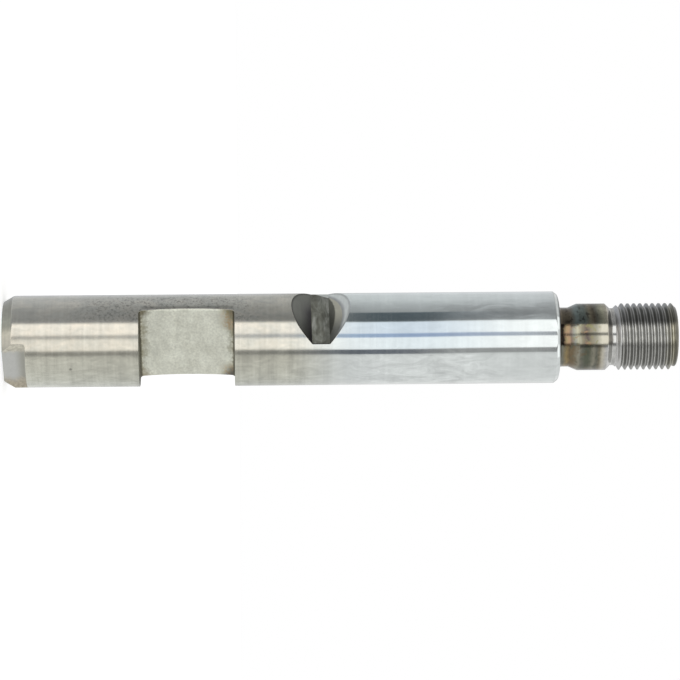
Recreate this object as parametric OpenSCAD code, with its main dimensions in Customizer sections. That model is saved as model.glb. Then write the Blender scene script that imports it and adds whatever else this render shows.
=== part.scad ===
// Shift fork shaft: one piece of steel, turned, ground and milled.
// It stands on its plain end, with the shaft's axis along Z and the threaded end up.
// The pocket and the end flat face the front, which is -Y.
// Sizes are in millimetres and angles in degrees.

/* [Ground shaft] */
// Diameter of the ground shaft
shaft_d = 22; // [20:0.1:26]
// Length of the ground shaft, from its plain end to the shoulder
shaft_length = 132.5; // [115:0.1:180]
// Length of the lead-in taper at the plain end, along the axis
lead_in_length = 2.5; // [1:0.1:4]
// Angle of the lead-in taper from the axis
lead_in_angle = 30; // [15:1:45]
// Length of the bevel at the shoulder, along the axis
shoulder_bevel_length = 1; // [0.3:0.1:2]
// Angle of the shoulder bevel from the axis
shoulder_bevel_angle = 38; // [20:1:50]

/* [End flat] */
// Length of the flat, from the plain end to its wall
end_flat_length = 5.5; // [3:0.1:12]
// Depth of the flat below the ground surface
end_flat_depth = 2.7; // [1.5:0.1:4.5]
// Radius in the corner between the flat and its wall
end_flat_corner_r = 0.5; // [0.3:0.1:1.4]

/* [Pocket] */
// Distance of the pocket's near wall from the plain end
pocket_from_end = 32.3; // [20:0.1:42]
// Width of the pocket, from wall to wall along the shaft
pocket_width = 22.7; // [14:0.1:30]
// Depth of the pocket below the ground surface, at the middle of its floor
pocket_depth = 10.5; // [6:0.1:13]
// Radius of the hollow in the pocket's floor, seen from the side
pocket_hollow_r = 110; // [60:1:300]
// Radius in the corners between the pocket's floor and its walls
pocket_corner_r = 0.9; // [0.3:0.1:2]

/* [Detent groove] */
// Distance of the groove's middle from the plain end
detent_from_end = 75.5; // [72:0.1:100]
// Depth of the groove below the ground surface
detent_depth = 4.5; // [2:0.1:6]
// Width of the flat floor of the groove
detent_floor_width = 4.15; // [1:0.05:6]
// Angle between the two flanks of the groove
detent_flank_angle = 95; // [60:1:120]
// Turn from the pocket round to the groove, clockwise as seen from the threaded end
detent_turn = 92; // [45:1:180]

/* [Neck and collar] */
// Diameter of the neck behind the shoulder
neck_d = 14.2; // [12:0.1:15.6]
// Length of the neck, from the shoulder to the cone
neck_length = 2.6; // [1.5:0.1:6]
// Radius in the corner between the neck and the shoulder
neck_fillet_r = 1; // [0.2:0.1:1.4]
// Length of the cone from the neck up to the collar
cone_length = 2.1; // [0.5:0.1:5]
// Diameter of the collar
collar_d = 16; // [15.8:0.1:18]
// Length of the collar
collar_length = 6.8; // [2:0.1:15]

/* [Threaded end] */
// Diameter over the thread, M16 x 1.5 right-hand
thread_d = 16; // [15:0.1:18]
// Length of the thread, with its end chamfer
thread_length = 13.8; // [6:0.1:30]
// Chamfer at the end of the thread, at 45 degrees
thread_chamfer = 1; // [0.4:0.1:2]
// Diameter of the thread relief
relief_d = 13.7; // [12:0.1:14.8]
// Width of the floor of the thread relief
relief_floor_width = 0.9; // [0.3:0.05:3]
// Angle of the flanks of the thread relief from the axis
relief_flank_angle = 45; // [30:1:60]

/* [Hidden] */
$fa = 1;
$fs = 0.25;

// How far a cutter reaches past the surface that it cuts
overrun = 1;
// How far the pocket's corner circles dip below its hollow floor, so that the two curves cross
corner_dip = 0.005;

// Radii of the turned steps
shaft_r = shaft_d / 2;
neck_r = neck_d / 2;
collar_r = collar_d / 2;
relief_r = relief_d / 2;
thread_r = thread_d / 2;

// Heights of the turned steps above the plain end
neck_top = shaft_length + neck_length;
collar_base = neck_top + cone_length;
collar_top = collar_base + collar_length;
relief_base = collar_top + (collar_r - relief_r) / tan(relief_flank_angle);
relief_top = relief_base + relief_floor_width;
thread_base = relief_top + (thread_r - relief_r) / tan(relief_flank_angle);
thread_top = thread_base + thread_length;

// Radii at the small ends of the lead-in taper and the shoulder bevel
lead_in_r = shaft_r - lead_in_length * tan(lead_in_angle);
shoulder_r = shaft_r - shoulder_bevel_length * tan(shoulder_bevel_angle);

// Half of the turned outline, as [radius, height], from the plain end up
turned_outline = [
    [0, 0],
    [lead_in_r, 0],
    [shaft_r, lead_in_length],
    [shaft_r, shaft_length - shoulder_bevel_length],
    [shoulder_r, shaft_length],
    [neck_r, shaft_length],
    [neck_r, neck_top],
    [collar_r, collar_base],
    [collar_r, collar_top],
    [relief_r, relief_base],
    [relief_r, relief_top],
    [thread_r, thread_base],
    [thread_r, thread_top - thread_chamfer],
    [thread_r - thread_chamfer, thread_top],
    [0, thread_top],
];

// The blank as it leaves the lathe and the grinder, with a fillet at the root of the neck
module turned_blank() {
    rotate_extrude() {
        polygon(turned_outline);
        translate([neck_r, shaft_length])
            difference() {
                square(neck_fillet_r);
                translate([neck_fillet_r, neck_fillet_r])
                    circle(neck_fillet_r);
            }
    }
}

// Runs a milling profile straight across the shaft, turned round it from the front.
// In the profile, x is the height above the plain end and y the distance out from the axis.
module milled_across(turn = 0) {
    rotate([0, -90, 180 + turn])
        linear_extrude(height = 2 * (shaft_r + overrun), center = true)
            children();
}

// Profile of the step that leaves the flat at the plain end
module end_flat_profile() {
    floor_y = shaft_r - end_flat_depth;
    corner_x = end_flat_length - end_flat_corner_r;
    corner_y = floor_y + end_flat_corner_r;
    translate([-overrun, floor_y])
        square([corner_x + overrun, end_flat_depth + overrun]);
    translate([-overrun, corner_y])
        square([end_flat_length + overrun, shaft_r + overrun - corner_y]);
    translate([corner_x, corner_y])
        circle(end_flat_corner_r);
}

// Profile of the pocket: two straight walls and a hollow floor, joined by corner radii.
// Each corner circle touches its wall and meets the hollow of the floor from inside.
module pocket_profile() {
    floor_y = shaft_r - pocket_depth;
    hollow_y = floor_y + pocket_hollow_r;
    corner_x = pocket_width / 2 - pocket_corner_r;
    corner_reach = pocket_hollow_r - pocket_corner_r;
    corner_y = hollow_y - sqrt(corner_reach * corner_reach - corner_x * corner_x) - corner_dip;
    touch_x = corner_x * pocket_hollow_r / corner_reach;
    top_y = shaft_r + overrun;
    intersection() {
        translate([0, hollow_y])
            circle(pocket_hollow_r);
        translate([-touch_x, floor_y - overrun])
            square([2 * touch_x, pocket_depth + 2 * overrun]);
    }
    translate([-pocket_width / 2, corner_y])
        square([pocket_width, top_y - corner_y]);
    for (side = [-1, 1])
        translate([side * corner_x, corner_y])
            circle(pocket_corner_r);
}

// Profile of the detent groove: a flat floor between two sloping flanks
module detent_profile() {
    floor_y = shaft_r - detent_depth;
    cut_height = detent_depth + overrun;
    half_floor = detent_floor_width / 2;
    half_mouth = half_floor + cut_height * tan(detent_flank_angle / 2);
    polygon([
        [-half_floor, floor_y],
        [half_floor, floor_y],
        [half_mouth, floor_y + cut_height],
        [-half_mouth, floor_y + cut_height],
    ]);
}

module shift_fork_shaft() {
    color("#b7b7b0")
        difference() {
            turned_blank();
            milled_across()
                end_flat_profile();
            milled_across()
                translate([pocket_from_end + pocket_width / 2, 0])
                    pocket_profile();
            milled_across(-detent_turn)
                translate([detent_from_end, 0])
                    detent_profile();
        }
}

shift_fork_shaft();
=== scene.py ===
import math

import bmesh
import bpy
from mathutils import Matrix, Vector


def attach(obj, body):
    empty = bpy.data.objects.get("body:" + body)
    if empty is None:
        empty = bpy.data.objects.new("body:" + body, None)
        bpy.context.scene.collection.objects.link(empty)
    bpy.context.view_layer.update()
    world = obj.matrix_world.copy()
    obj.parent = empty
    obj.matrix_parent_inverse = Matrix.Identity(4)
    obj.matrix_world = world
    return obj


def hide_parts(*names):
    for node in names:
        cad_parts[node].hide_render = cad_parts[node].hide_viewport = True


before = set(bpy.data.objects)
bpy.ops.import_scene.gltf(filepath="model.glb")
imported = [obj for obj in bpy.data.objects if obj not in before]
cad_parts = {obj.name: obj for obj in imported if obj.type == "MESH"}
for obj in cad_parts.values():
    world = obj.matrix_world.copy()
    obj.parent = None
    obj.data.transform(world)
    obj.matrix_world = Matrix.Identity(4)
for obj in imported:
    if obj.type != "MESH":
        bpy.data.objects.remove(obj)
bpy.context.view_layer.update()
scene = bpy.context.scene

# Ground shaft
# The body of the part: a steel bar, turned on a lathe and ground to 22 mm over its whole length.
# The plain end has a lead-in taper, and the other end steps down to the neck at a bevelled shoulder.
mm = 0.001
shaft_radius = 11
shaft_length = 132.5
lead_in_length = 2.5
lead_in_angle = math.radians(30)
lead_in_radius = shaft_radius - lead_in_length * math.tan(lead_in_angle)
shoulder_bevel = 1
shoulder_bevel_angle = math.radians(38)
shoulder_radius = shaft_radius - shoulder_bevel * math.tan(shoulder_bevel_angle)
neck_radius = 7.1
neck_fillet = 1.0

# Each corner of the turned outline, as radius, height and the rounding of its edge
shaft_corners = [
    (0, 0, 0),
    (lead_in_radius, 0, 0.15),
    (shaft_radius, lead_in_length, 0.4),
    (shaft_radius, shaft_length - shoulder_bevel, 0.5),
    (shoulder_radius, shaft_length, 0.8),
    (neck_radius, shaft_length, neck_fillet),
]


class Field:
    """A value that changes over a surface: one socket of a node tree, with arithmetic on it."""

    def __init__(self, tree, socket):
        self.tree = tree
        self.socket = socket

    def node(self, kind, settings, sockets, output=0):
        """Adds a node: its settings first, then a value or a link for each socket."""
        made = self.tree.nodes.new(kind)
        for setting, value in settings.items():
            if setting == "stops":
                set_stops(made.color_ramp, value)
            else:
                setattr(made, setting, value)
        for socket, value in sockets.items():
            if isinstance(value, Field):
                self.tree.links.new(value.socket, made.inputs[socket])
            else:
                made.inputs[socket].default_value = value
        return Field(self.tree, made.outputs[output])

    def math(self, operation, *values):
        """A Math node on values and fields."""
        return self.node("ShaderNodeMath", {"operation": operation}, dict(enumerate(values)))

    def vector(self, operation, sockets, output=0):
        """A Vector Math node with this field first."""
        return self.node("ShaderNodeVectorMath", {"operation": operation}, {0: self, **sockets}, output)

    def __add__(self, other):
        return self.math("ADD", self, other)

    def __sub__(self, other):
        return self.math("SUBTRACT", self, other)

    def __rsub__(self, other):
        return self.math("SUBTRACT", other, self)

    def __mul__(self, other):
        if self.socket.type == "VALUE":
            return self.math("MULTIPLY", self, other)
        if isinstance(other, tuple) or isinstance(other, Field) and other.socket.type != "VALUE":
            return self.vector("MULTIPLY", {1: other})
        return self.vector("SCALE", {"Scale": other})

    def __abs__(self):
        return self.math("ABSOLUTE", self)

    __radd__ = __add__
    __rmul__ = __mul__

    def part(self, axis):
        """One coordinate of a position."""
        return self.node("ShaderNodeSeparateXYZ", {}, {0: self}, axis)

    def along(self, direction):
        """How far a position lies along a direction."""
        return self.vector("DOT_PRODUCT", {1: direction}, 1)

    def distance(self, point):
        """How far a position lies from a point."""
        return self.vector("DISTANCE", {1: point}, 1)

    def radius(self):
        """How far a position lies from the shaft's axis."""
        return (self * (1.0, 1.0, 0.0)).vector("LENGTH", {}, 1)

    def noise(self, scale, detail=3, roughness=0.6, warp=0):
        """Soft random blotches over a position, from 0 to 1, with so many of them to a millimetre."""
        sockets = {"Vector": self, "Scale": scale, "Detail": detail}
        return self.node("ShaderNodeTexNoise", {}, {**sockets, "Roughness": roughness, "Distortion": warp})

    def drawn_noise(self, across, along, detail=3, roughness=0.6, warp=0):
        """Noise that is drawn out: so many blotches to a millimetre across the shaft and along it."""
        return (self * (across, across, along)).noise(1, detail, roughness, warp)

    def vary(self, strength):
        """A factor round 1 that follows a pattern from 0 to 1."""
        return 1 + (self - 0.5) * strength

    def step(self, low, high):
        """Goes softly from 0 at one value to 1 at another."""
        sockets = {"Value": self, "From Min": low, "From Max": high}
        return self.node("ShaderNodeMapRange", {"interpolation_type": "SMOOTHSTEP"}, sockets)

    def band(self, low, high, blur):
        """1 between two values and 0 outside them, with blurred ends."""
        return self.step(low - blur, low + blur) * (1 - self.step(high - blur, high + blur))

    def ramp(self, stops):
        """Colours at chosen values, blended between them."""
        first = stops[0][0]
        last = stops[-1][0]
        share = self.node("ShaderNodeMapRange", {}, {"Value": self, "From Min": first, "From Max": last})
        places = [((value - first) / (last - first), colour) for value, colour in stops]
        return self.node("ShaderNodeValToRGB", {"stops": places}, {0: share})

    def mix(self, without, within):
        """A blend of two colours, with this as the share of the second."""
        return self.node("ShaderNodeMix", {"data_type": "RGBA"}, {0: self, 6: without, 7: within}, 2)


def set_stops(colour_ramp, stops):
    """Puts a colour ramp's stops in place."""
    while len(colour_ramp.elements) < len(stops):
        colour_ramp.elements.new(1)
    for element, (place, colour) in zip(colour_ramp.elements, stops):
        element.position = place
        element.color = colour


def finish_material(name):
    """A new material: itself, its shader, and positions on the object in millimetres."""
    material = bpy.data.materials.new(name)
    material.use_nodes = True
    shader = material.node_tree.nodes["Principled BSDF"]
    where = material.node_tree.nodes.new("ShaderNodeTexCoord")
    place = Field(material.node_tree, where.outputs["Object"]) * (1 / mm)
    return material, shader, place


def connect(shader, **sockets):
    """Sets a shader's sockets, each to a constant or to a field; a name's underscores are spaces."""
    for name, value in sockets.items():
        socket = shader.inputs[name.replace("_", " ")]
        if isinstance(value, Field):
            value.tree.links.new(value.socket, socket)
        else:
            socket.default_value = value


def roughen(height, strength, depth):
    """A bump from a field of heights, with its depth in millimetres."""
    return height.node("ShaderNodeBump", {}, {"Strength": strength, "Distance": depth * mm, "Height": height})


def tone(red, green, blue):
    """A colour for a socket."""
    return (red, green, blue, 1)


def grey(level):
    """A neutral colour for a socket."""
    return tone(level, level, level)


finishes = {}
# The angle round the shaft that the camera looks from, and straight up as the shaft lies in the picture;
# a place's rise is how far it lies that way from the axis
view_angle = math.radians(225.5)
picture_up = (math.sin(view_angle), -math.cos(view_angle), 0)

material, shader, place = finish_material("ground_steel")
height = place.part(2)
rise = place.along(picture_up)

# Where the finish changes: dull near the plain end and polished beyond the groove, with painted reflection
# clouds low on the polished half, darker painted reflection patches high on it, and specks of corrosion above
# the pocket
polish = height.step(66, 84)
dull = 1 - polish
lower_side = 1 - rise.step(-3, -1.5)
upper_side = rise.step(3, 4.5)
in_reflection_clouds = height.band(84, 116, 6) * (1 - rise.step(-3.5, -2.5))
in_reflection_patches = height.band(104, 130, 4) * rise.band(4.2, 8.2, 0.6)
in_specks = height.band(20, 58, 9) * rise.band(4.8, 10.4, 0.8)
taper = 1 - height.step(lead_in_length - 0.35, lead_in_length - 0.05)

# What the grinder and handling left on the steel, and the painted reflection clouds and patches
lines = place.drawn_noise(0.05, 1.6, 4, 0.65)
fine_lines = place.drawn_noise(0.06, 14)
rings = place.drawn_noise(0.03, 0.4)
grain = place.drawn_noise(1.5, 0.8)
blotches = place.drawn_noise(0.34, 0.2, 5, 0.6, 0.8)
# Painted reflection: cloudy light and darker patches on the mirror-like steel
reflection_clouds = place.drawn_noise(0.45, 0.16, 5, 0.6, 1)
reflection_patches = place.drawn_noise(0.5, 0.11, 3, 0.5, 0.6)
streaks = lines * 0.7 + fine_lines * 0.3

# Each pattern with how strongly it lightens and darkens the steel
patterns = [
    (streaks, 0.12 + dull * 0.2),
    (blotches, 0.1 + dull * 0.3),
    (grain, dull * 0.2),
    (rings, 0.18 + dull * (0.25 + lower_side * 0.25 - upper_side * 0.25)),
    (reflection_clouds, 0.24 + in_reflection_clouds * 0.6 + lower_side * (0.14 + dull * 0.3)),
    (reflection_patches.step(0.38, 0.62), in_reflection_patches * -0.26),
]
# Painted light on the dull half: a lighter band on its upper side, and painted shade from there up to its top
# edge
shade = 1 + (rise.band(3.4, 6.5, 0.8) * 0.12 - rise.step(6.5, 10) * 0.05) * dull
for pattern, strength in patterns:
    shade = shade + (pattern - 0.5) * strength

# Steel colours: the dull half's front, its lower side in painted shade that lightens towards its edge, the
# polished half and the lead-in taper
warm_steel = blotches.step(0.3, 0.7).mix(tone(0.535, 0.528, 0.467), tone(0.55, 0.525, 0.452))
shaded_steel = rise.ramp([
    (-10.4, tone(0.56, 0.572, 0.51)),
    (-9.2, tone(0.53, 0.536, 0.468)),
    (-7, tone(0.52, 0.52, 0.447)),
    (-4, tone(0.49, 0.485, 0.412)),
])
dull_steel = rise.step(-4, -1.5).mix(shaded_steel, warm_steel)
polished_steel = tone(0.60, 0.63, 0.62)
# The taper's colour carries a painted reflection band across its middle and painted shade above it
taper_reflection_colour = rise.ramp([
    (0, tone(0.42, 0.41, 0.355)),
    (2.5, tone(0.45, 0.445, 0.37)),
    (4.5, tone(0.55, 0.55, 0.45)),
    (6.2, tone(0.4, 0.39, 0.325)),
    (7.5, tone(0.32, 0.31, 0.26)),
])
steel = taper.mix(
    polish.mix(dull_steel, polished_steel) * shade,
    taper_reflection_colour * (lines.vary(0.4) + (grain - 0.5) * 0.4),
)

# Dirt and painted shade: the specks and a haze round them, a darker line along the pocket's upper rim, one
# pit, and painted shade on the shoulder's rounding
specks = place.noise(1.5, 4, 0.65).step(0.48, 0.66) * in_specks
pocket_rim = height.band(33, 54.6, 0.5) * rise.band(7.5, 8.1, 0.25)
pit_place = (-1.4, -10.91, 16.2)
pit = 1 - place.distance(pit_place).step(0.15, 0.5)
# Painted shade where the shoulder's rounding turns away from the light
shoulder_shade = height.step(shaft_length - 0.6, shaft_length - 0.1) * rise.step(-6, -3)
for mark, darkness in ((specks, 0.45), (in_specks, 0.11), (pocket_rim, 0.3), (pit, 0.5), (shoulder_shade, 0.85)):
    steel = steel * (1 - mark * darkness)
connect(
    shader,
    Base_Color=steel,
    Metallic=1.0,
    Roughness=0.04 + dull * 0.09 + streaks * 0.08 + taper * 0.14,
    Normal=roughen(fine_lines, 0.15, 0.01),
)
finishes["ground"] = material

material, shader, place = finish_material("turned_face")
across = place.radius()
tool_rings = across.node(
    "ShaderNodeTexNoise", {"noise_dimensions": "1D"}, {"W": across, "Scale": 4.0, "Detail": 3.0},
)
connect(
    shader,
    Base_Color=tool_rings.step(0.3, 0.7).mix(tone(0.37, 0.37, 0.35), tone(0.57, 0.57, 0.54)),
    Metallic=1.0,
    Roughness=0.2 + tool_rings * 0.16,
    Normal=roughen(tool_rings, 0.5, 0.04),
)
finishes["end_face"] = material

# Neck and collar
# The turned step behind the shoulder: a neck, a cone up to the collar, and the relief before the thread.
# The steel is bare and was heated here, so it runs through black, copper, straw and brown tints; the black in
# the fillet at its foot is partly painted shade.
neck_length = 2.6
cone_length = 2.1
collar_length = 6.8
collar_radius = 8
relief_radius = 6.85
relief_width = 0.9
neck_top = shaft_length + neck_length
collar_base = neck_top + cone_length
collar_top = collar_base + collar_length
relief_base = collar_top + collar_radius - relief_radius
relief_top = relief_base + relief_width
neck_corners = [
    (neck_radius, neck_top, 0.6),
    (collar_radius, collar_base, 0.3),
    (collar_radius, collar_top, 0.3),
    (relief_radius, relief_base, 0.35),
    (relief_radius, relief_top, 0),
]

# Temper colours, the dark ones first
black = tone(0.015, 0.012, 0.01)
umber = tone(0.11, 0.095, 0.07)
plum = tone(0.1, 0.08, 0.072)
moss = tone(0.105, 0.115, 0.085)
smoke = tone(0.15, 0.15, 0.122)
chestnut = tone(0.15, 0.115, 0.07)
teal = tone(0.138, 0.162, 0.147)
violet = tone(0.19, 0.15, 0.125)
brown = tone(0.2, 0.18, 0.13)
green = tone(0.21, 0.2, 0.1)
gold = tone(0.26, 0.2, 0.104)
copper = tone(0.285, 0.195, 0.118)
olive = tone(0.25, 0.24, 0.19)
dim_steel = tone(0.24, 0.23, 0.21)
grey_green = tone(0.26, 0.27, 0.235)
straw = tone(0.38, 0.375, 0.285)
pale_straw = tone(0.47, 0.445, 0.365)
bare_steel = tone(0.52, 0.52, 0.5)

material, shader, place = finish_material("heat_tint")
height = place.part(2)
rise = place.along(picture_up)
blotch = place.noise(0.55, 4)
wander = place.drawn_noise(0.3, 0.12)
from_shoulder = height - shaft_length

# The tints up from the shoulder, with wandering edges, on the front, the lower side and the upper side; the
# front's black in the fillet is partly painted shade
heated = from_shoulder + (wander - 0.5) * 1.2
front_tint = heated.ramp([
    (0.9, black), (1.7, copper), (2.3, copper), (2.8, violet), (3.5, grey_green), (4.3, straw), (5.3, brown),
    (6.5, plum), (7.5, brown), (8.7, olive), (10.0, pale_straw), (11.3, pale_straw), (11.9, dim_steel),
    (12.6, dim_steel), (13.0, bare_steel),
])
lower_tint = heated.ramp([
    (0, moss), (0.8, smoke), (1.7, gold), (2.4, chestnut), (3.1, chestnut), (4.4, olive), (5.2, smoke),
    (6.0, moss), (6.8, moss), (8.1, olive), (8.8, smoke), (9.5, brown), (10.2, pale_straw),
    (11.3, bare_steel),
])
upper_tint = heated.ramp([
    (0, umber), (2.8, umber), (3.8, teal), (6.0, teal), (7.3, brown), (8.2, umber), (8.9, smoke),
    (10.4, straw), (11.3, pale_straw), (11.9, dim_steel), (13.1, bare_steel),
])

# Spots of other tints, in two random patterns
warm_spots = place.drawn_noise(0.75, 0.525, 3, 0.6, 0.5).step(0.54, 0.64)
warm_spots = warm_spots * from_shoulder.band(3.3, 8.1, 0.9)
green_spots = place.drawn_noise(0.76, 0.95, 3, 0.6, 0.5).step(0.55, 0.64)
green_spots = green_spots * from_shoulder.band(1.3, 9.5, 0.9)
front_tint = (warm_spots * 0.75).mix(front_tint, copper)
front_tint = (green_spots * 0.7).mix(front_tint, green)
lower_tint = (warm_spots * 0.6).mix(lower_tint, chestnut)
lower_tint = (green_spots * 0.6).mix(lower_tint, moss)
upper_tint = (green_spots * 0.6).mix(upper_tint, black)
tint = rise.step(-2.3, -1.7).mix(lower_tint * blotch.vary(0.8), front_tint)
tint = rise.step(2.9, 3.3).mix(tint, upper_tint * blotch.vary(1.1))
connect(
    shader,
    Base_Color=tint,
    Metallic=1.0,
    Roughness=0.1 + blotch * 0.1,
)
finishes["neck"] = material

# Threaded end
# An M16 x 1.5 right-hand thread, cut on the lathe up to the relief, with a chamfer at its end.
# It is bare cut steel with a painted highlight in the roots, painted shade on its upper and lower sides, and
# stains at its end.
pitch = 1.5
crest_radius = 8
root_radius = 7.08
crest_half = 0.094
root_half = 0.125
thread_length = 13.8
thread_chamfer = 1
first_crest = 0.36
thread_base = relief_top + crest_radius - relief_radius
thread_top = thread_base + thread_length
crest_height = thread_base + first_crest
thread_corners = [
    (crest_radius, 0, 0),
    (crest_radius, crest_half, 0.08),
    (root_radius, pitch / 2 - root_half, 0.2),
    (root_radius, pitch / 2 + root_half, 0.2),
    (crest_radius, pitch - crest_half, 0.08),
    (crest_radius, pitch, 0),
]

material, shader, place = finish_material("cut_thread")
height = place.part(2)
rise = place.along(picture_up)
mottle = place.noise(0.9, 3, 0.5)
# Painted light across the thread's profile: lighter in the roots, painted shade on the flanks and a little
# less at the crests
lit_root_steel = tone(0.64, 0.64, 0.61)
shaded_flank_steel = tone(0.34, 0.34, 0.325)
shaded_crest_steel = tone(0.42, 0.42, 0.4)
cut_steel = place.radius().ramp([
    (root_radius - 0.08, lit_root_steel),
    (root_radius + 0.27, shaded_flank_steel),
    (crest_radius - 0.2, shaded_flank_steel),
    (crest_radius - 0.05, shaded_crest_steel),
    (crest_radius, shaded_crest_steel),
])
cut_steel = height.step(thread_base - 0.1, thread_base + 0.3).mix(tone(0.6, 0.6, 0.585), cut_steel)
stained_end = (height + (mottle - 0.5) * 2).step(thread_top - 3.4, thread_top - 1)
on_chamfer = height.step(thread_top - 1.2, thread_top - 0.6)
# Painted shade on the thread's upper side, and a little on its lower side
painted_side_shade = (1 - rise.step(2.4, 4) * 0.4) * (0.82 + rise.step(-2.6, -1) * 0.18)
cut_steel = cut_steel * stained_end.mix(grey(1), tone(0.88, 0.85, 0.72))
cut_steel = cut_steel * on_chamfer.mix(grey(1), grey(0.45))
connect(
    shader,
    Base_Color=cut_steel * (painted_side_shade * mottle.vary(0.4)),
    Metallic=1.0,
    Roughness=0.3,
)
finishes["thread"] = material

# End flat
# A step milled across the plain end, with a flat floor and an upright wall.
# The cutter left it smooth and grey, with a rough burr along its upper edge and stains at the lower one; it
# has painted shade in the corner along its wall.
overrun = 1
cut_top = shaft_radius + overrun
front_angle = math.radians(-90)
end_flat_length = 5.5
end_flat_floor = 8.3
end_flat_half = math.sqrt(shaft_radius ** 2 - end_flat_floor ** 2)
end_flat_corners = [
    (end_flat_length, cut_top, 0),
    (end_flat_length, end_flat_floor, 0.5),
    (-overrun, end_flat_floor, 0),
    (-overrun, cut_top, 0),
]

material, shader, place = finish_material("milled_flat")
height = place.part(2)
sideways = place.part(0)
mottle = place.noise(0.8, 4)
lumps = place.noise(1.6)
from_upper_edge = sideways + end_flat_half
from_lower_edge = end_flat_half - sideways
burr = 1 - (from_upper_edge + (mottle - 0.5) * 2.4).step(1.8, 3)
stain = 1 - (from_lower_edge - (mottle - 0.5) * 3).step(1.6, 4.4)
# Painted shade in the rounded corner at the wall
wall_shade = height.step(end_flat_length - 2.9, end_flat_length - 0.3)
flat_colour = mottle.mix(tone(0.46, 0.465, 0.445), tone(0.51, 0.515, 0.49))
flat_colour = wall_shade.mix(flat_colour, tone(0.34, 0.34, 0.3))
flat_colour = stain.mix(flat_colour, tone(0.41, 0.375, 0.3))
flat_colour = burr.mix(flat_colour, tone(0.54, 0.52, 0.44))
unclean = burr.math("MAXIMUM", burr, stain)
connect(
    shader,
    Base_Color=flat_colour * lumps.vary(0.12 + unclean * 1.1),
    Metallic=1.0,
    Roughness=0.3 + unclean * 0.15,
    Normal=roughen(lumps * unclean + mottle * 0.2, 0.35, 0.2),
)
finishes["end_flat"] = material

# Pocket
# A deep pocket milled straight across the shaft, with upright walls and a slightly hollow floor.
# Its floor is dull and frosted, dark at the walls, with oil and rust stains in the corners, painted shadow at
# the low end of the far wall and a painted highlight along its upper rim.
pocket_from_end = 32.3
pocket_half = 22.7 / 2
pocket_middle = pocket_from_end + pocket_half
pocket_floor = 0.5
pocket_corner = 0.9
hollow_radius = 110
floor_steps = 8
pocket_corners = [(pocket_middle + pocket_half, cut_top, 0)]
for step in range(floor_steps + 1):
    offset = pocket_half * (1 - 2 * step / floor_steps)
    hollow = hollow_radius - math.sqrt(hollow_radius ** 2 - offset ** 2)
    rounding = pocket_corner if step in (0, floor_steps) else 0
    pocket_corners.append((pocket_middle + offset, pocket_floor + hollow, rounding))
pocket_corners.append((pocket_middle - pocket_half, cut_top, 0))

material, shader, place = finish_material("milled_pocket")
height = place.part(2)
sideways = place.part(0)
mottle = place.noise(0.3, 4)
flecks = place.drawn_noise(1.5, 1.8)
smudges = place.drawn_noise(0.14, 0.45, 5, 0.65, 0.6)
from_wall = pocket_half - abs(height - pocket_middle)
from_rim = shaft_radius - abs(sideways)
far_half = height.step(pocket_middle - 4, pocket_middle + 4)
low_half = sideways.step(-4, 4)
frosted = mottle.step(0.3, 0.7).mix(tone(0.57, 0.575, 0.495), tone(0.655, 0.665, 0.58))
pocket_colour = frosted * flecks.step(0.2, 0.8).vary(0.28) * smudges.vary(0.52)
# A painted highlight along the upper rim
rim_highlight = 1 - sideways.step(0.4 - shaft_radius, 0.8 - shaft_radius)
pocket_colour = pocket_colour * (1 + rim_highlight * 0.2)
# Dirt that starts at the walls, with a ragged edge
edge_dirt = 1 - (from_wall + (mottle - 0.5) * 7 + (flecks - 0.5) * 3).step(-0.6, 2.4)
pocket_colour = edge_dirt.mix(pocket_colour, tone(0.36, 0.345, 0.25))
# Rust along the far wall, towards its two ends
by_ends = 1 - (sideways + (mottle - 0.5) * 5).band(-5, 7.6, 1.4)
rusty = height.step(pocket_middle + 7, pocket_middle + 10) * by_ends * flecks.step(0.36, 0.6)
pocket_rust = mottle.step(0.4, 0.6).mix(tone(0.4, 0.31, 0.2), tone(0.34, 0.315, 0.18))
pocket_colour = rusty.mix(pocket_colour, pocket_rust)
# Old oil in the four corners, with painted shadow that makes the low end of the far wall blackest, and a dark
# seam along the walls
low_oil_and_shadow = far_half.mix(tone(0.32, 0.29, 0.21), grey(0.07))
corner_oil_and_shadow = low_half.mix(tone(0.16, 0.14, 0.085), low_oil_and_shadow)
in_corner = 1 - (from_wall + from_rim * 0.8 + (flecks - 0.5) * 3).step(0.8, 4.4)
pocket_colour = (in_corner * 0.85).mix(pocket_colour, corner_oil_and_shadow)
wall_seam = 1 - (from_wall + (flecks - 0.5) * 0.7).step(0.1, 0.7)
pocket_colour = wall_seam.mix(pocket_colour, tone(0.1, 0.095, 0.065))
connect(
    shader,
    Base_Color=pocket_colour,
    Metallic=1.0,
    Roughness=0.45,
    Normal=roughen(mottle + flecks * 0.5, 0.3, 0.1),
)
finishes["pocket"] = material

# Detent groove
# A groove milled across the far side of the shaft for the detent, with a flat floor and sloping flanks.
# It is dark olive, with painted shade that is black at the foot of the flanks and painted reflections that
# brighten it towards the rim.
groove_angle = math.radians(178)
groove_middle = 75.5
groove_floor = 6.5
groove_half_floor = 4.15 / 2
groove_flank_angle = math.radians(95 / 2)
groove_half_mouth = groove_half_floor + (cut_top - groove_floor) * math.tan(groove_flank_angle)
groove_rounding = 0.15
groove_corners = [
    (groove_middle + groove_half_mouth, cut_top, 0),
    (groove_middle + groove_half_floor, groove_floor, groove_rounding),
    (groove_middle - groove_half_floor, groove_floor, groove_rounding),
    (groove_middle - groove_half_mouth, cut_top, 0),
]
groove_outward = (math.cos(groove_angle), math.sin(groove_angle), 0)
groove_sideways = (-math.sin(groove_angle), math.cos(groove_angle), 0)

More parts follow.
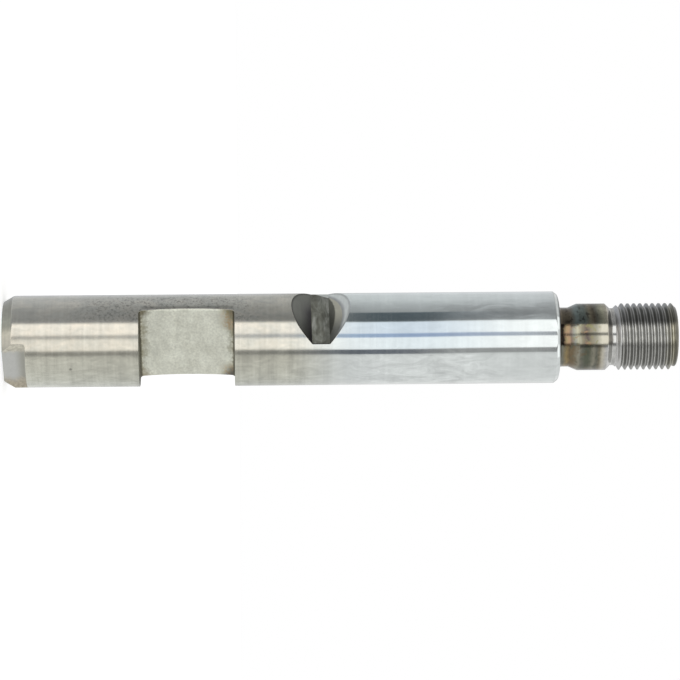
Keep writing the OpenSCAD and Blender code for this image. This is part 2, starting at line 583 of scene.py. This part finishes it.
material, shader, place = finish_material("milled_groove")
from_middle = place.part(2) - groove_middle
aside = place.along(groove_sideways)
out = place.along(groove_outward)
mottle = place.noise(0.7, 4, 0.65, 0.6)
drips = place.drawn_noise(0.22, 0.6, 3, 0.5, 0.8)
pools = place.drawn_noise(0.13, 0.42)
on_flank = abs(from_middle).step(groove_half_floor - 0.05, groove_half_floor + 0.15)
on_right = from_middle.step(-0.1, 0.1)
near_rim = place.radius().step(shaft_radius - 0.5, shaft_radius - 0.15)
painted_reflection_steel = tone(0.63, 0.65, 0.61)

# The left flank in painted shade, darkest at its foot and darker again at the rim
in_shade = aside.step(-7, -1) * (1 - out.step(6.6, 9.2))
left_flank = in_shade.mix(tone(0.135, 0.14, 0.125), tone(0.068, 0.065, 0.07))
left_flank = left_flank * (1 - aside.step(0, 7) * 0.3) * (1 - near_rim * 0.45)

# Painted shade and reflection on the right flank, bounded by two curves: dark below the first, beige up to
# the second, pale above it
ragged = (mottle - 0.5) * 0.3
first_shade_edge = out + (aside + 0.8) * (aside + 0.8) * 0.028 + ragged
second_shade_edge = out + (aside - 1.2) * (aside - 1.2) * 0.036 + ragged
beige = aside.step(0, 6).mix(tone(0.43, 0.415, 0.33), tone(0.24, 0.24, 0.21))
right_flank = first_shade_edge.step(7.7, 7.95).mix(tone(0.115, 0.115, 0.09), beige)
right_flank = second_shade_edge.step(9.2, 9.4).mix(right_flank, tone(0.34, 0.345, 0.33))
right_flank = second_shade_edge.step(9.4, 10.1).mix(right_flank, painted_reflection_steel) * (1 - near_rim * 0.3)
flank_colour = on_right.mix(left_flank, right_flank) * drips.vary(0.5)

# The floor is darkest at its right and at its upper end, with a painted reflection that makes one corner
# there pale
floor_colour = drips.ramp([
    (0.32, tone(0.13, 0.13, 0.105)),
    (0.46, tone(0.2, 0.2, 0.165)),
    (0.54, tone(0.26, 0.265, 0.225)),
    (0.68, tone(0.42, 0.42, 0.37)),
])
floor_shade = 1.06 - from_middle.step(-1, 1.6) * 0.22 - (1 - aside.step(-8.5, -4)) * 0.3
floor_shade = floor_shade * pools.vary(0.9) * mottle.vary(0.6) * (1 - near_rim * aside.step(0, 1) * 0.6)
reflection_corner = (from_middle * 0.44 - aside).step(8.25, 8.5)
floor_colour = reflection_corner.mix(floor_colour * floor_shade, painted_reflection_steel)
connect(
    shader,
    Base_Color=on_flank.mix(floor_colour, flank_colour),
    Metallic=1.0,
    Roughness=0.4,
    Normal=roughen(mottle, 0.2, 0.08),
)
finishes["groove"] = material

# Shaft put together
# The turned and threaded bar with the three cuts taken out of it, and its cut edges broken with a stone.
columns = 240
fine_arc = math.radians(9)
thread_arc = math.radians(16)
edge_break = 0.08
sharp_turn = math.radians(15)
longest_reach = 0.45
touching = 1e-5


def rounded_outline(corners, arc_step):
    """Points along an outline with its corners rounded, each with the normal on the outline's right."""
    points = []
    for index, (across, along, rounding) in enumerate(corners):
        corner = Vector((across, along))
        before = corner - Vector(corners[max(index, 1) - 1][:2])
        after = Vector(corners[min(index + 1, len(corners) - 1)][:2]) - corner
        incoming = (before if before.length else after).normalized()
        outgoing = (after if after.length else before).normalized()
        turn = math.atan2(incoming.cross(outgoing), incoming.dot(outgoing))
        first_normal = Vector((incoming.y, -incoming.x))
        last_normal = Vector((outgoing.y, -outgoing.x))
        if not rounding and abs(turn) < arc_step:
            points.append((corner, (first_normal + last_normal).normalized()))
            continue
        if not rounding:
            points.append((corner, first_normal))
            points.append((corner, last_normal))
            continue
        shorter_side = min(before.length, after.length)
        reach = min(rounding * math.tan(abs(turn) / 2), longest_reach * shorter_side)
        bulge = reach / math.tan(turn / 2)
        centre = corner - incoming * reach - first_normal * bulge
        steps = max(2, math.ceil(abs(turn) / arc_step))
        for step in range(steps + 1):
            normal = Matrix.Rotation(turn * step / steps, 2) @ first_normal
            points.append((centre + normal * bulge, normal))
    return points


turned_outline = rounded_outline(shaft_corners + neck_corners, fine_arc)
thread_outline = [place for place, normal in rounded_outline(thread_corners, thread_arc)][:-1]
rows_a_turn = len(thread_outline)
cuts = {
    "end_flat": (rounded_outline(end_flat_corners, fine_arc), front_angle),
    "pocket": (rounded_outline(pocket_corners, fine_arc), front_angle),
    "groove": (rounded_outline(groove_corners, fine_arc), groove_angle),
}
finish_names = list(finishes)
corners = [Vector((0, 0, 0)), Vector((0, 0, thread_top)) * mm]
faces = []
face_finishes = []


def around(radius, height, column):
    """A point of the shaft, in metres, at a radius and height and at one of its columns."""
    angle = math.tau * column / columns
    return Vector((radius * math.cos(angle), radius * math.sin(angle), height)) * mm


def add_ring(radius, height):
    """One ring of corners round the shaft; gives the number of its first corner."""
    first = len(corners)
    corners.extend(around(radius, height, column) for column in range(columns))
    return first


def add_face(finish, *numbers):
    """One face, left out where it has shrunk to nothing."""
    kept = [number for index, number in enumerate(numbers) if number != numbers[index - 1]]
    if len(set(kept)) > 2:
        faces.append(kept)
        face_finishes.append(finish_names.index(finish))


last_ring = None
last_place = turned_outline[0][0]
for place, normal in turned_outline[1:]:
    if (place - last_place).length < touching:
        continue
    ring = add_ring(place.x, place.y)
    if abs(place.y - last_place.y) < touching:
        finish = "end_face"
    else:
        finish = "ground" if place.x > collar_radius + touching and place.y < neck_top else "neck"
    for column in range(columns):
        following = (column + 1) % columns
        if last_ring is None:
            add_face(finish, 0, ring + following, ring + column)
        else:
            add_face(finish, last_ring + column, last_ring + following, ring + following, ring + column)
    last_ring = ring
    last_place = place
relief_ring = last_ring
top_ring = add_ring(crest_radius - thread_chamfer, thread_top)
thread_numbers = {}


def thread_corner(column, row):
    """The number of one corner of the thread, on a grid that climbs one pitch in each turn."""
    if column == columns:
        column = 0
        row += rows_a_turn
    place = thread_outline[row % rows_a_turn]
    height = crest_height + place.y + pitch * (row // rows_a_turn + column / columns)
    if height <= relief_top:
        return relief_ring + column
    if height >= thread_top:
        return top_ring + column
    if (column, row) not in thread_numbers:
        on_relief = relief_radius + height - relief_top
        on_chamfer = crest_radius - thread_chamfer + thread_top - height
        thread_numbers[column, row] = len(corners)
        corners.append(around(min(place.x, on_relief, on_chamfer), height, column))
    return thread_numbers[column, row]


first_turn = math.floor((relief_top - crest_height) / pitch) - 1
last_turn = math.ceil((thread_top - crest_height) / pitch) + 1
for row in range(first_turn * rows_a_turn, last_turn * rows_a_turn):
    for column in range(columns):
        add_face(
            "thread",
            thread_corner(column, row),
            thread_corner(column + 1, row),
            thread_corner(column + 1, row + 1),
            thread_corner(column, row + 1),
        )
for column in range(columns):
    add_face("end_face", 1, top_ring + column, top_ring + (column + 1) % columns)

cutter_corners = []
cutter_faces = []
cutter_finishes = []
for finish, (cut_outline, facing) in cuts.items():
    outward = Vector((math.cos(facing), math.sin(facing), 0))
    sideways = Vector((-math.sin(facing), math.cos(facing), 0))
    loop = []
    for place, normal in cut_outline:
        if not loop or (place - loop[-1]).length > touching:
            loop.append(place)
    first = len(cutter_corners)
    count = len(loop)
    for side in (-1, 1):
        for place in loop:
            point = outward * place.y + sideways * side * cut_top + Vector((0, 0, place.x))
            cutter_corners.append(point * mm)
    near = [first + index for index in range(count)]
    far = [first + count + index for index in range(count)]
    for index in range(count):
        cutter_faces.append([near[index - 1], far[index - 1], far[index], near[index]])
    cutter_faces.append(near)
    cutter_faces.append(far[::-1])
    cutter_finishes.extend([finish_names.index(finish)] * (count + 2))


def add_object(name, corners, faces, face_finishes):
    """A mesh object, with a number for the finish of each face."""
    mesh = bpy.data.meshes.new(name)
    mesh.from_pydata(corners, [], faces)
    mesh.polygons.foreach_set("material_index", face_finishes)
    for material in finishes.values():
        mesh.materials.append(material)
    made = bpy.data.objects.new(name, mesh)
    scene.collection.objects.link(made)
    return made


bar = add_object("turned_bar", corners, faces, face_finishes)
cutter = add_object("cutters", cutter_corners, cutter_faces, cutter_finishes)
milling = bar.modifiers.new("milling", "BOOLEAN")
milling.operation = "DIFFERENCE"
milling.solver = "EXACT"
milling.object = cutter
milled_bar = bar.evaluated_get(bpy.context.evaluated_depsgraph_get())
shaft_mesh = bpy.data.meshes.new_from_object(milled_bar)
for made in (bar, cutter):
    bpy.data.objects.remove(made)

solid = bmesh.new()
solid.from_mesh(shaft_mesh)
cut_numbers = {finish_names.index(finish) for finish in cuts}
broken_edges = []
for edge in solid.edges:
    meeting = {face.material_index for face in edge.link_faces}
    if len(meeting) == 2 and meeting & cut_numbers and edge.calc_face_angle_signed() > sharp_turn:
        broken_edges.append(edge)
break_faces = bmesh.ops.bevel(
    solid, geom=broken_edges, offset=edge_break * mm, offset_type="OFFSET", segments=2, profile=0.5,
    affect="EDGES", clamp_overlap=False, material=-1,
)["faces"]
for corner in solid.verts:
    corner.co.z = max(corner.co.z, 0)
solid.faces.index_update()
break_numbers = {face.index for face in break_faces}
for face in solid.faces:
    face.smooth = True
for edge in solid.edges:
    meeting = {finish_names[face.material_index] for face in edge.link_faces}
    edge.smooth = not (len(meeting) == 2 and "end_face" in meeting)
solid.to_mesh(shaft_mesh)
solid.free()


def outline_normal(outline, middle, place):
    """The normal at a place on the stretch of an outline that lies nearest to a face's middle."""
    nearest = None
    for (start, start_normal), (end, end_normal) in zip(outline, outline[1:]):
        run = end - start
        if run.length < touching:
            continue
        share = min(max((middle - start).dot(run) / run.length_squared, 0), 1)
        gap = (start + run * share - middle).length
        if nearest is None or gap < nearest[0]:
            nearest = (gap, start, run, start_normal, end_normal)
    gap, start, run, start_normal, end_normal = nearest
    share = min(max((place - start).dot(run) / run.length_squared, 0), 1)
    return start_normal.lerp(end_normal, share).normalized()


# True normals of the turned and milled surfaces; the thread and the broken edges keep the mesh's own
normals = []
for face in shaft_mesh.polygons:
    finish = finish_names[face.material_index]
    spots = [shaft_mesh.vertices[number].co / mm for number in face.vertices]
    centre = sum(spots, Vector()) / len(spots)
    if face.index in break_numbers or finish == "thread":
        normals.extend(Vector() for spot in spots)
    elif finish == "end_face":
        normals.extend(face.normal for spot in spots)
    elif finish in cuts:
        cut_outline, facing = cuts[finish]
        outward = Vector((math.cos(facing), math.sin(facing), 0))
        middle = Vector((centre.z, centre.dot(outward)))
        for spot in spots:
            normal = outline_normal(cut_outline, middle, Vector((spot.z, spot.dot(outward))))
            normals.append(outward * normal.y + Vector((0, 0, normal.x)))
    else:
        middle = Vector((sum(spot.xy.length for spot in spots) / len(spots), centre.z))
        for spot in spots:
            normal = outline_normal(turned_outline, middle, Vector((spot.xy.length, spot.z)))
            normals.append((spot.xy.normalized() * normal.x).to_3d() + Vector((0, 0, normal.y)))
shaft_mesh.normals_split_custom_set(normals)
shaft = bpy.data.objects.new("shift_fork_shaft_steel", shaft_mesh)
scene.collection.objects.link(shaft)
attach(shaft, "root")
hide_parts("shift_fork_shaft")

# Floor and backdrop
# A plain white floor and a white backdrop. The floor glows a little, so that it stays white and still
# keeps the shaft's soft shadow, and it is kept out of the steel's reflections.
floor_reach = 30
floor_glow = 0.48
soft_level = 0.65
floor_sides = ((-1, -1), (1, -1), (1, 1), (-1, 1))
floor_corners = [(x * floor_reach, y * floor_reach, 0) for x, y in floor_sides]
floor_mesh = bpy.data.meshes.new("floor")
floor_mesh.from_pydata(floor_corners, [], [(0, 1, 2, 3)])
floor = bpy.data.objects.new("floor", floor_mesh)
scene.collection.objects.link(floor)
floor.visible_glossy = False
floor.visible_shadow = False
floor_paint, shader, place = finish_material("floor_paint")
connect(
    shader,
    Base_Color=grey(0.85),
    Roughness=1.0,
    Emission_Color=grey(1),
    Emission_Strength=floor_glow,
)
floor_mesh.materials.append(floor_paint)

world = bpy.data.worlds.new("backdrop")
scene.world = world
world.use_nodes = True
backdrop = world.node_tree.nodes["Background"]
rays = world.node_tree.nodes.new("ShaderNodeLightPath")
camera_ray, glossy_ray, clear_ray = (
    Field(world.node_tree, rays.outputs[name])
    for name in ("Is Camera Ray", "Is Glossy Ray", "Is Transmission Ray")
)
connect(
    backdrop,
    Color=grey(1),
    Strength=soft_level + (camera_ray + glossy_ray + clear_ray) * (1 - soft_level),
)

# Light tent
# A tall drum of white cloth and grey card round the set, lit from behind in bands, that the steel mirrors.
# Angles go round the drum from the camera's side, and heights are in millimetres above the floor.
tent_radius = 1.0
tent_low = -3.0
tent_high = 4.6
tent_level = 1.7
tent_steps = 72
# How bright the drum is round it: a board, a dark line, a light box, a gap, a second box, a second board
tent_bands = [
    (-180, 0.5), (-172, 0.5), (-160, 0.95), (-46, 1.0), (-38, 0.9), (-36.5, 0.42), (-25.5, 0.42),
    (-24, 1.5), (4, 1.5), (5.5, 0.72), (13.5, 0.72), (15, 1.5), (43, 1.5), (46, 0.38), (62, 0.42),
    (75, 0.5), (88, 0.6), (115, 0.85), (160, 0.9), (172, 0.5), (180, 0.5),
]


def dimmed(before, within, after):
    """The last levels up a band that is dimmed where the collar and the thread mirror it."""
    return [(240, before), (254, grey(within)), (318, grey(within)), (345, grey(after))]


# How each band's light changes up the drum
low_board = [
    (-55, grey(0.97)), (-30, grey(0.85)), (75, grey(0.76)), (115, grey(0.95)), (135, grey(1)),
    *dimmed(grey(1), 0.75, 1),
]
low_line = [
    (-90, grey(1.05)), (40, grey(0.95)), (75, grey(0.7)), (112, tone(0.46, 0.5, 0.58)),
    (160, tone(0.42, 0.45, 0.55)), (168, grey(1.2)), *dimmed(grey(1.15), 0.35, 0.9),
]
low_box = [
    (-90, tone(0.89, 0.865, 0.845)), (-30, tone(0.92, 0.9, 0.88)), (85, tone(1.03, 1.015, 1)),
    (112, tone(0.92, 0.94, 0.96)), (155, tone(0.77, 0.82, 0.87)), (186, tone(0.87, 0.91, 0.95)),
    (212, grey(1.02)), (400, grey(1.06)),
]
gap = [
    (-90, grey(0.9)), (70, grey(0.92)), (88, tone(0.95, 1, 1.08)), (105, tone(0.9, 1.08, 1.35)),
    (130, tone(0.66, 0.85, 1.2)), (155, tone(0.55, 0.72, 1.08)), (184, tone(0.7, 0.82, 1.1)),
    (217, tone(1, 1.06, 1.2)), *dimmed(grey(1), 0.3, 1),
]
high_box = [
    (-90, tone(1.05, 1.01, 0.99)), (85, tone(1.03, 1, 0.985)), (112, tone(0.8, 0.84, 0.9)),
    (135, tone(0.66, 0.73, 0.83)), (155, tone(0.6, 0.67, 0.77)), (186, tone(0.8, 0.85, 0.92)),
    (212, grey(1)), (240, grey(1.08)),
]
high_board = [
    (-90, tone(0.89, 0.92, 0.98)), (75, tone(0.84, 0.87, 0.92)), (88, grey(0.55)), (100, grey(0.5)),
    (110, tone(0.96, 1, 1.02)), *dimmed(tone(0.98, 1, 1.03), 0.6, 1),
]
tent_points = []
for step in range(tent_steps):
    angle = math.tau * step / tent_steps
    for height in (tent_low, tent_high):
        tent_points.append((tent_radius * math.cos(angle), tent_radius * math.sin(angle), height))
tent_faces = []
for step in range(tent_steps):
    following = (step + 1) % tent_steps
    tent_faces.append((2 * step, 2 * following, 2 * following + 1, 2 * step + 1))
tent_mesh = bpy.data.meshes.new("light_tent")
tent_mesh.from_pydata(tent_points, [], tent_faces)
tent = bpy.data.objects.new("light_tent", tent_mesh)
scene.collection.objects.link(tent)
tent.matrix_world = Matrix.Rotation(view_angle, 4, "Z") @ Matrix.Diagonal((1, -1, 1, 1))
tent.visible_camera = False
tent.visible_shadow = False
tent.visible_diffuse = False

tent_cloth, shader, place = finish_material("tent_cloth")
height = place.part(2)
angle = place.math("ARCTAN2", place.part(1), place.part(0)) * math.degrees(1)
# The bands sag by 2 degrees where the shaft mirrors them just past the groove
angle = angle + height.band(100, 172, 14) * 2

zones = [
    (1 - angle.step(-38.5, -37.5), low_board),
    (angle.band(-37, -25, 0.7), low_line),
    (angle.band(-24.5, 4.7, 0.7), low_box),
    (angle.band(4.7, 14.3, 0.7), gap),
    (angle.band(14.3, 44, 0.7), high_box),
    (angle.step(43.5, 45), high_board),
]
glow = angle.ramp([(value, grey(level / tent_level)) for value, level in tent_bands])
for in_zone, stops in zones:
    glow = glow * in_zone.mix(grey(1), height.ramp(stops))
# Three cards that stand before the high board, each with its tint, and white cloth overhead
cards = [
    (height.band(116, 178, 4) * angle.band(44, 70.5, 1.5), tone(0.26, 0.32, 0.36)),
    (height.band(178, 207, 7) * angle.band(50, 70, 3), tone(0.78, 0.8, 0.82)),
    (height.band(209, 245, 5) * (angle.step(43, 45) - angle.step(46, 66)), grey(1.5)),
]
for on_card, card_tint in cards:
    glow = glow * on_card.mix(grey(1), card_tint)
overhead = height.step(1950, 2100)
connect(
    shader,
    Base_Color=grey(0),
    Roughness=1.0,
    Specular_IOR_Level=0.0,
    Emission_Color=overhead.mix(glow, grey(0.85)),
    Emission_Strength=tent_level,
)
tent_mesh.materials.append(tent_cloth)

# Camera
# It looks square at the shaft from the pocket's side, a little below its middle, and lies on its side.
target = Vector((0, 0, 80.29))
toward = Vector((math.cos(view_angle), math.sin(view_angle), 0))
upright = Vector((0, 0, 1))
tilt = 0.034
roll = math.radians(0.494)
camera_distance = 695
camera_drop = 0.25
lens = 153.2
side_up = toward.cross(upright)
forward = upright * math.sin(tilt) - toward * math.cos(tilt)
level_right = upright * math.cos(tilt) + toward * math.sin(tilt)
right = level_right * math.cos(roll) - side_up * math.sin(roll)
up = side_up * math.cos(roll) + level_right * math.sin(roll)
camera_data = bpy.data.cameras.new("camera")
camera_data.lens = lens
camera_data.clip_end = 100
camera = bpy.data.objects.new("camera", camera_data)
scene.collection.objects.link(camera)
camera_place = (target - forward * camera_distance - up * camera_drop) * mm
camera_turn = Matrix((right, up, -forward)).transposed().to_4x4()
camera.matrix_world = Matrix.Translation(camera_place) @ camera_turn
scene.camera = camera
scene.view_settings.view_transform = "Standard"
